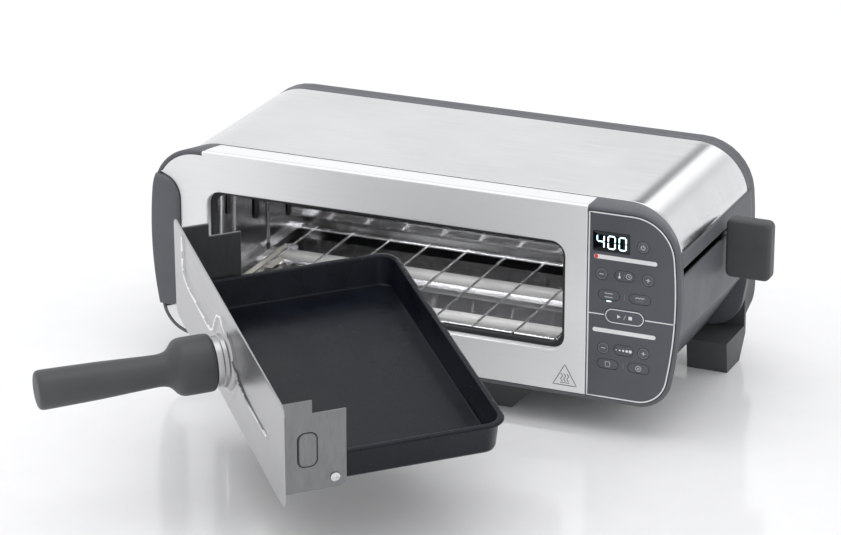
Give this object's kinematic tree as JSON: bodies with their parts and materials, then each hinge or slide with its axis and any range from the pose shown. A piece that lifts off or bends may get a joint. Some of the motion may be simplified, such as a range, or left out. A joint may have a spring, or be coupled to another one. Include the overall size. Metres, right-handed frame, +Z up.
{
  "type": "toaster oven",
  "caption": "Compact flip-type toaster oven: steel wrap, open window front, control panel, side toast lever and a slide-in pan whose steel door carries the handle.",
  "frame": {"origin": "on the surface the oven stands on, under the middle of the front foot", "axes": "+X to the oven's right seen from the front, +Y to the rear, +Z up"},
  "size_m": [0.5088, 0.594, 0.1954],
  "materials": {
    "brushed_steel": "brushed along its length, satin",
    "satin_steel": "satin",
    "inner_steel": "bright, slightly reflective",
    "wire_steel": "bright drawn wire",
    "bracket_steel": "satin",
    "grey_plastic": "fine matte",
    "panel_plastic": "satin",
    "dark_plastic": "fine matte",
    "black_rubber": "matte",
    "display_glass": "glossy, dark",
    "quartz": "clear, slightly milky",
    "ceramic": "unglazed",
    "board_green": "satin",
    "nonstick_black": "smooth non-stick coating"
  },
  "bodies": {
    "oven_body": {"outer_wrap": "brushed_steel", "lower_housing": "grey_plastic", "front_bezel": "grey_plastic", "front_panel": "satin_steel", "left_grip": "grey_plastic", "window_gasket": "black_rubber", "rear_cover": "grey_plastic", "cord_gland": "black_rubber", "rear_foot_right": "dark_plastic", "rear_foot_left": "dark_plastic", "front_foot": "dark_plastic", "control_panel": "panel_plastic", "display_lens": "display_glass", "control_board": "board_green", "cavity_liner": "inner_steel", "bulkhead": "inner_steel", "lower_reflector": "inner_steel", "upper_reflector": "inner_steel", "heater_tube_lower_front": "quartz", "heater_tube_lower_rear": "quartz", "heater_tube_upper_front": "quartz", "heater_tube_upper_rear": "quartz", "tube_holder_lower_left": "ceramic", "tube_holder_lower_right": "ceramic", "tube_holder_upper_left": "ceramic", "tube_holder_upper_right": "ceramic", "lower_guard": "wire_steel", "upper_guard": "wire_steel", "guard_bracket_lower_left": "inner_steel", "guard_bracket_lower_right": "inner_steel", "guard_bracket_upper_left": "inner_steel", "guard_bracket_upper_right": "inner_steel", "temperature_probe": "wire_steel"},
    "toast_lever": {"toast_carriage": "inner_steel", "lever_knob": "dark_plastic"},
    "pan": {"door_panel": "satin_steel", "pan_tray": "nonstick_black", "pan_bracket_right": "bracket_steel", "pan_bracket_left": "bracket_steel", "bracket_screw_right": "wire_steel", "bracket_screw_left": "wire_steel", "handle_ferrule": "satin_steel", "handle_grip": "dark_plastic", "handle_bolt": "wire_steel"},
    "button_power": {"button_power": "panel_plastic"},
    "button_oven_minus": {"button_oven_minus": "panel_plastic"},
    "button_temp_time": {"button_temp_time": "panel_plastic"},
    "button_oven_plus": {"button_oven_plus": "panel_plastic"},
    "button_bake": {"button_bake": "panel_plastic"},
    "button_broil": {"button_broil": "panel_plastic"},
    "button_start_stop": {"button_start_stop": "panel_plastic"},
    "button_toast_minus": {"button_toast_minus": "panel_plastic"},
    "button_shade": {"button_shade": "panel_plastic"},
    "button_toast_plus": {"button_toast_plus": "panel_plastic"},
    "button_toast": {"button_toast": "panel_plastic"},
    "button_bagel": {"button_bagel": "panel_plastic"}
  },
  "joints": [
    {"name": "toast_lever_slide", "type": "slide", "parent": "oven_body", "child": "toast_lever", "axis": [0, -1, 0], "range_m": [0, 0.09]},
    {"name": "pan_turn", "type": "hinge", "parent": "oven_body", "child": "pan", "pos_m": [0.03415, -0.2726, 0.08538], "axis": [-0.1247, -0.1427, 0.9819], "range_deg": [0, 49]},
    {"name": "button_power_press", "type": "slide", "parent": "oven_body", "child": "button_power", "axis": [0, 1, 0], "range_m": [0, 0.0008], "stiffness_N_per_m": 250},
    {"name": "button_oven_minus_press", "type": "slide", "parent": "oven_body", "child": "button_oven_minus", "axis": [0, 1, 0], "range_m": [0, 0.0008], "stiffness_N_per_m": 250},
    {"name": "button_temp_time_press", "type": "slide", "parent": "oven_body", "child": "button_temp_time", "axis": [0, 1, 0], "range_m": [0, 0.0008], "stiffness_N_per_m": 250},
    {"name": "button_oven_plus_press", "type": "slide", "parent": "oven_body", "child": "button_oven_plus", "axis": [0, 1, 0], "range_m": [0, 0.0008], "stiffness_N_per_m": 250},
    {"name": "button_bake_press", "type": "slide", "parent": "oven_body", "child": "button_bake", "axis": [0, 1, 0], "range_m": [0, 0.0008], "stiffness_N_per_m": 250},
    {"name": "button_broil_press", "type": "slide", "parent": "oven_body", "child": "button_broil", "axis": [0, 1, 0], "range_m": [0, 0.0008], "stiffness_N_per_m": 250},
    {"name": "button_start_stop_press", "type": "slide", "parent": "oven_body", "child": "button_start_stop", "axis": [0, 1, 0], "range_m": [0, 0.0008], "stiffness_N_per_m": 250},
    {"name": "button_toast_minus_press", "type": "slide", "parent": "oven_body", "child": "button_toast_minus", "axis": [0, 1, 0], "range_m": [0, 0.0008], "stiffness_N_per_m": 250},
    {"name": "button_shade_press", "type": "slide", "parent": "oven_body", "child": "button_shade", "axis": [0, 1, 0], "range_m": [0, 0.0008], "stiffness_N_per_m": 250},
    {"name": "button_toast_plus_press", "type": "slide", "parent": "oven_body", "child": "button_toast_plus", "axis": [0, 1, 0], "range_m": [0, 0.0008], "stiffness_N_per_m": 250},
    {"name": "button_toast_press", "type": "slide", "parent": "oven_body", "child": "button_toast", "axis": [0, 1, 0], "range_m": [0, 0.0008], "stiffness_N_per_m": 250},
    {"name": "button_bagel_press", "type": "slide", "parent": "oven_body", "child": "button_bagel", "axis": [0, 1, 0], "range_m": [0, 0.0008], "stiffness_N_per_m": 250}
  ]
}
